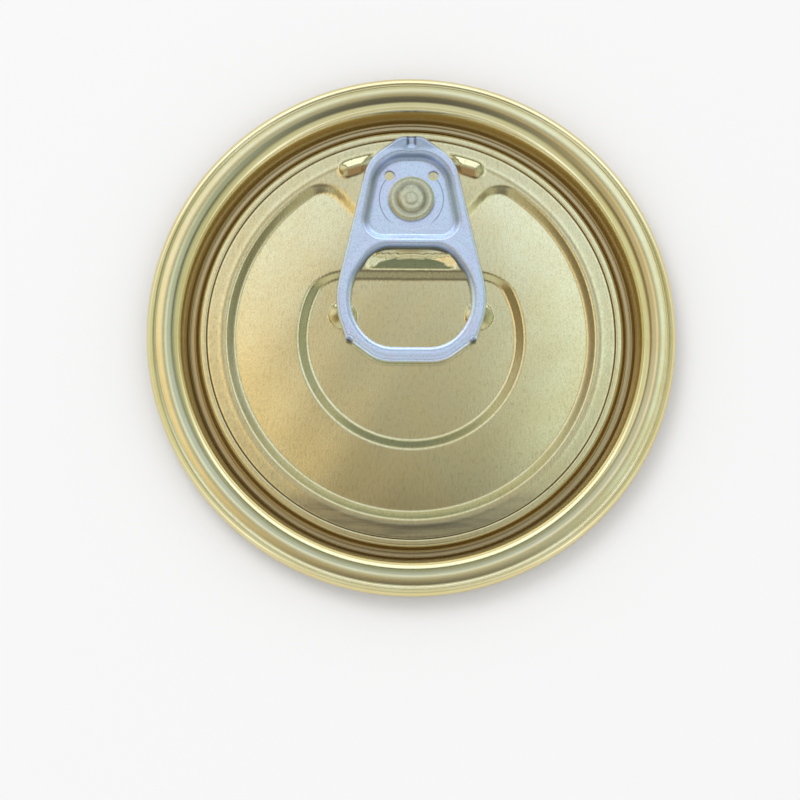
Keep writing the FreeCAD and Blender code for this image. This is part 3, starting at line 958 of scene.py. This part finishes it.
def ringTint(graph, tint, radius):
    # painted shade in the groove with a lighter painted line in it, paler wall, painted dark reflection
    # on the rim
    inner, outer, soft = lacquer["grooveFrom"], lacquer["grooveTo"], lacquer["grooveSoft"]
    inGroove = radius.between(inner - soft, inner + soft / 2)
    inGroove = inGroove * (1 - radius.between(outer - soft, outer + soft * 2))
    # a lighter line in the groove's painted shade, a painted highlight
    onGrooveHighlight = 1 - abs(radius - lacquer["grooveLine"]).between(0, lacquer["grooveLineHalf"])
    tint = graph.mix(tint, lacquer["grooveShade"], inGroove * (1 - onGrooveHighlight * 0.3))
    onWall = radius.between(outer, outer + 0.5)
    onWall = onWall * (1 - radius.between(wallTopRadius - 0.5, wallTopRadius))
    tint = graph.mix(tint, lacquer["wallColour"], onWall)
    # painted dark reflection band on the rim
    fromRimReflection = abs(radius - lacquer["rimReflectionAt"])
    reflectionHalf = lacquer["rimReflectionHalf"]
    onRimReflection = 1 - fromRimReflection.between(reflectionHalf * 0.4, reflectionHalf)
    return graph.mix(tint, lacquer["rimReflection"], onRimReflection * lacquer["rimReflectionAmount"])


def panelTint(graph, tint, places, radius, side, y):
    # painted brown reflection on the inner side of the bars, painted dark reflected streaks on the
    # apron round the recess, painted shade in the tear line
    # painted brown reflection on the bars' inner slope
    onBar = radius.between(barRadius - 1.5, barRadius - 1.2)
    onBar = onBar * (1 - radius.between(barRadius - 0.35, barRadius))
    onBar = onBar * side.between(4.0, 5.0) * (1 - side.between(9.8, 10.6)) * y.between(20, 21)
    tint = graph.mix(tint, lacquer["barReflection"], onBar)
    # painted dark reflected streaks on the apron
    streaks = graph.noise(places, lacquer["streakScale"], 3.0, 0.6, (0.25, 3.0, 1.0))
    streaks = streaks.between(0.35, 0.65)
    onApron = radius.between(wellRadius + 0.2, wellRadius + 0.9)
    onApron = onApron * (1 - radius.between(scoreRadius - 0.4, scoreRadius - 0.1))
    onApron = onApron * (1 - y.between(lacquer["apronFrom"], lacquer["apronTo"]))
    tint = graph.mix(tint, lacquer["apronReflection"], onApron * (0.55 + streaks * 0.45))
    # painted shade along the tear line
    onScore = 1 - abs(radius - scoreRadius).between(0.06, 0.16)
    return graph.mix(tint, lacquer["scoreShade"], onScore)


def makeLacquer():
    material = bpy.data.materials.new("goldLacquer")
    graph = Graph(material)
    places = graph.places()
    x, y, z = graph.split(places)
    radius = (x * x + y * y).maths("SQRT") * 1000
    grain = graph.noise(places, lacquer["grainScale"], 2.0, 0.6, (1.3, 1.0, 1.0))
    fleck = graph.noise(places, lacquer["fleckScale"], 2.0, 0.5, (3.2, 1.0, 1.0))
    mottle = graph.noise(places, lacquer["mottleScale"], 3.0, 0.6)
    tint, onPanel = groundTint(graph, grain, fleck, mottle, radius)
    tint = ringTint(graph, tint, radius)
    tint = panelTint(graph, tint, places, radius, abs(x * 1000), y * 1000)
    rough = lacquer["roughness"] + grain * 0.06 + (mottle - 0.5) * 0.04
    height = (grain + fleck) * (onPanel * 0.85 + 0.15)
    dents = graph.dents(height, 0.12)
    metal = graph.add("ShaderNodeBsdfPrincipled", None, {
        "Base Color": tint, "Metallic": 1.0, "Roughness": rough, "Normal": dents,
    })
    graph.add("ShaderNodeOutputMaterial", None, {"Surface": metal})
    return material


rivetFinish = {
    "colour": colour(232, 228, 188),
    "dull": colour(196, 190, 160),
    "ringColour": colour(164, 158, 132),
    "ringRadius": 2.35, "ringHalf": 0.5,     # darker ring round the button, over its sloping foot
    "roughness": 0.27,
}


def makeRivetFinish():
    # the same lacquer, stretched thin, with specks and a darker ring round the button
    material = bpy.data.materials.new("rivetLacquer")
    graph = Graph(material)
    places = graph.places()
    x, y, z = graph.split(places)
    across = y - rivetY * mm
    radius = (x * x + across * across).maths("SQRT") * 1000
    speck = graph.noise(places, 3000.0, 3.0, 0.6)
    cloud = graph.noise(places, 700.0, 2.0, 0.5)
    tint = graph.mix(rivetFinish["colour"], rivetFinish["dull"], speck.between(0.35, 0.7) * 0.6)
    ringHalf = rivetFinish["ringHalf"]
    onRing = 1 - abs(radius - rivetFinish["ringRadius"]).between(ringHalf * 0.3, ringHalf * 1.3)
    tint = graph.mix(tint, rivetFinish["ringColour"], onRing * (0.3 + cloud * 0.7))
    rough = rivetFinish["roughness"] + speck * 0.08
    dents = graph.dents(speck, 0.15)
    metal = graph.add("ShaderNodeBsdfPrincipled", None, {
        "Base Color": tint, "Metallic": 1.0, "Roughness": rough, "Normal": dents,
    })
    graph.add("ShaderNodeOutputMaterial", None, {"Surface": metal})
    return material


steel = {
    "colour": colour(228, 241, 255),
    "lilac": colour(232, 232, 252),
    "speckColour": colour(186, 202, 226),
    "shadeColour": colour(96, 108, 132),      # painted shade, laid on where the bendShade attribute says and on the slit's sides
    "slitHighlight": colour(250, 252, 255),         # painted highlight along the lowest part of the slit
    "slitAmount": 0.6,
    "roughness": 0.33,
}


def makeSteel():
    # satin steel with a faint blue cast and fine specks, with painted shade and a painted highlight
    material = bpy.data.materials.new("tabSteel")
    graph = Graph(material)
    places = graph.places()
    speck = graph.noise(places, 3000.0, 2.0, 0.6)
    cloud = graph.noise(places, 260.0, 3.0, 0.6)
    tint = graph.mix(steel["colour"], steel["lilac"], cloud.between(0.4, 0.7) * 0.7)
    tint = graph.mix(tint, steel["speckColour"], speck.between(0.45, 0.7) * 0.45)
    # painted shade from the bendShade attribute
    shade = graph.add("ShaderNodeAttribute", {"attribute_name": "bendShade"}, None, 2)
    x, y, z = graph.split(places)
    across = y - rivetY * mm
    radius = (x * x + across * across).maths("SQRT") * 1000
    # painted shade along the slit's sides and a painted highlight along its lowest part
    onSlit = 1 - abs(radius - tabSizes["slitRadius"]).between(0.03, 0.13)
    onSlit = onSlit * (1 - (y * 1000).between(ventY - 0.3, ventY))
    slitTint = graph.mix(steel["slitHighlight"], steel["shadeColour"], (across * 1000).between(-4.6, -3.2))
    tint = graph.mix(tint, steel["shadeColour"], shade)
    tint = graph.mix(tint, slitTint, onSlit * steel["slitAmount"])
    rough = steel["roughness"] + (speck - 0.5) * 0.15
    dents = graph.dents(speck, 0.15)
    metal = graph.add("ShaderNodeBsdfPrincipled", None, {
        "Base Color": tint, "Metallic": 1.0, "Roughness": rough, "Normal": dents,
    })
    graph.add("ShaderNodeOutputMaterial", None, {"Surface": metal})
    return material


lidEnd.data.materials.append(makeLacquer())
rivet.data.materials.append(makeRivetFinish())
pullTab.data.materials.append(makeSteel())
print("finishes made")

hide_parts("lid_end")
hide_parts("lid_end")
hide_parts("pull_tab")
for piece in (lidEnd, rivet, pullTab):
    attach(piece, rootBody)
